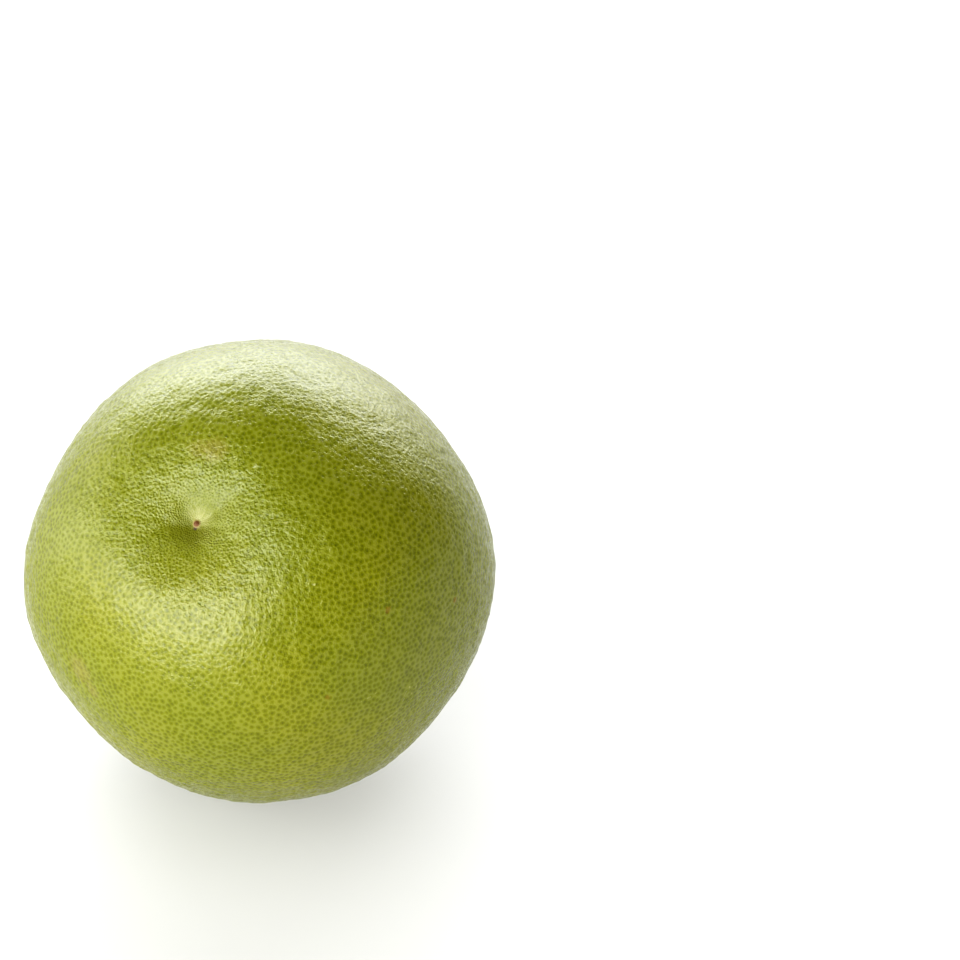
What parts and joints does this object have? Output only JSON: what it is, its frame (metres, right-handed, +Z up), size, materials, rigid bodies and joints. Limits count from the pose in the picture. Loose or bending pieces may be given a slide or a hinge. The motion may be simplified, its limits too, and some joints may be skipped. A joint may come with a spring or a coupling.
{
  "type": "oroblanco fruit",
  "caption": "Whole green oroblanco, a sweet white grapefruit hybrid: round body dished at both ends, style stub on the blossom end, stalk scar below, lying on a small flat spot.",
  "frame": {"origin": "on the surface the fruit lies on, straight under the fruit's middle, which is the middle of its box", "axes": "+Z up; the blossom end is tilted 41.5 degrees from +Z, towards -Y and a little towards -X"},
  "size_m": [0.1093, 0.1088, 0.1076],
  "materials": {
    "peel": "waxy green citrus peel with darker oil glands, satin gloss"
  },
  "bodies": {
    "root": {"oroblanco_fruit": "peel"}
  },
  "joints": []
}
